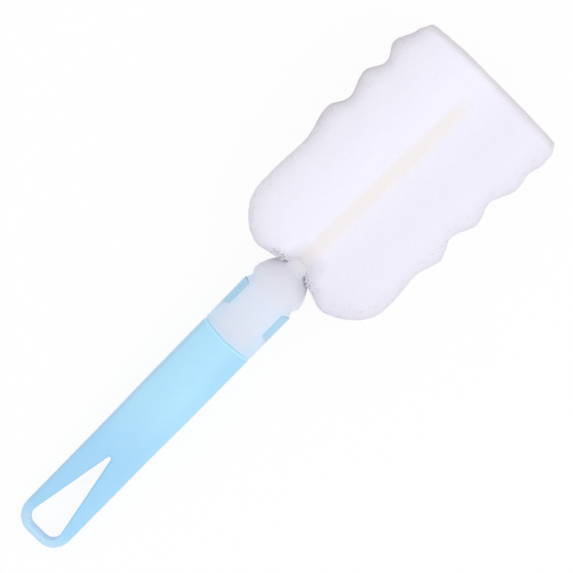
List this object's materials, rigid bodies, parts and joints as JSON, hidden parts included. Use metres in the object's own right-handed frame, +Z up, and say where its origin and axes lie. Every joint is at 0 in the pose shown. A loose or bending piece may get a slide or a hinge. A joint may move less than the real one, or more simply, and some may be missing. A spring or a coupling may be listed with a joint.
{
  "type": "sponge bottle brush",
  "caption": "Bottle and cup brush: a plastic grip with a hanging loop, and a wavy foam head on a collar that snaps on and pulls off.",
  "frame": {"origin": "on the surface that the brush lies on, under the middle of its bounding box", "axes": "+X from the hanging loop to the foam head, +Y to the brush's left side, +Z up, which is the front of the brush as it lies"},
  "size_m": [0.2498, 0.0734, 0.0553],
  "materials": {
    "blue_plastic": "pale blue polypropylene, smooth satin",
    "milky_plastic": "milky translucent polypropylene, smooth satin",
    "stem_plastic": "milky polypropylene",
    "glue": "warm white hot-melt glue",
    "white_foam": "white polyurethane foam with fine pores"
  },
  "bodies": {
    "handle body": {"handle": "blue_plastic"},
    "head body": {"collar": "milky_plastic", "stem": "stem_plastic", "glue_line": "glue", "foam_head": "white_foam"},
    "left arm body": {"left_snap_arm": "blue_plastic"},
    "right arm body": {"right_snap_arm": "blue_plastic"}
  },
  "joints": [
    {"name": "head_slide", "type": "slide", "parent": "handle body", "child": "head body", "axis": [0.993, 0, 0.1185], "range_m": [0, 0.03], "deforming": ["left_snap_arm", "right_snap_arm"]},
    {"name": "left_press", "type": "hinge", "parent": "handle body", "child": "left arm body", "pos_m": [-0.02724, 0.01125, 0.01459], "axis": [0.1185, 0, -0.993], "range_deg": [0, 7], "stiffness_Nm_per_rad": 0.3},
    {"name": "right_press", "type": "hinge", "parent": "handle body", "child": "right arm body", "pos_m": [-0.02724, -0.00675, 0.01459], "axis": [-0.1185, 0, 0.993], "range_deg": [0, 7], "stiffness_Nm_per_rad": 0.3}
  ]
}
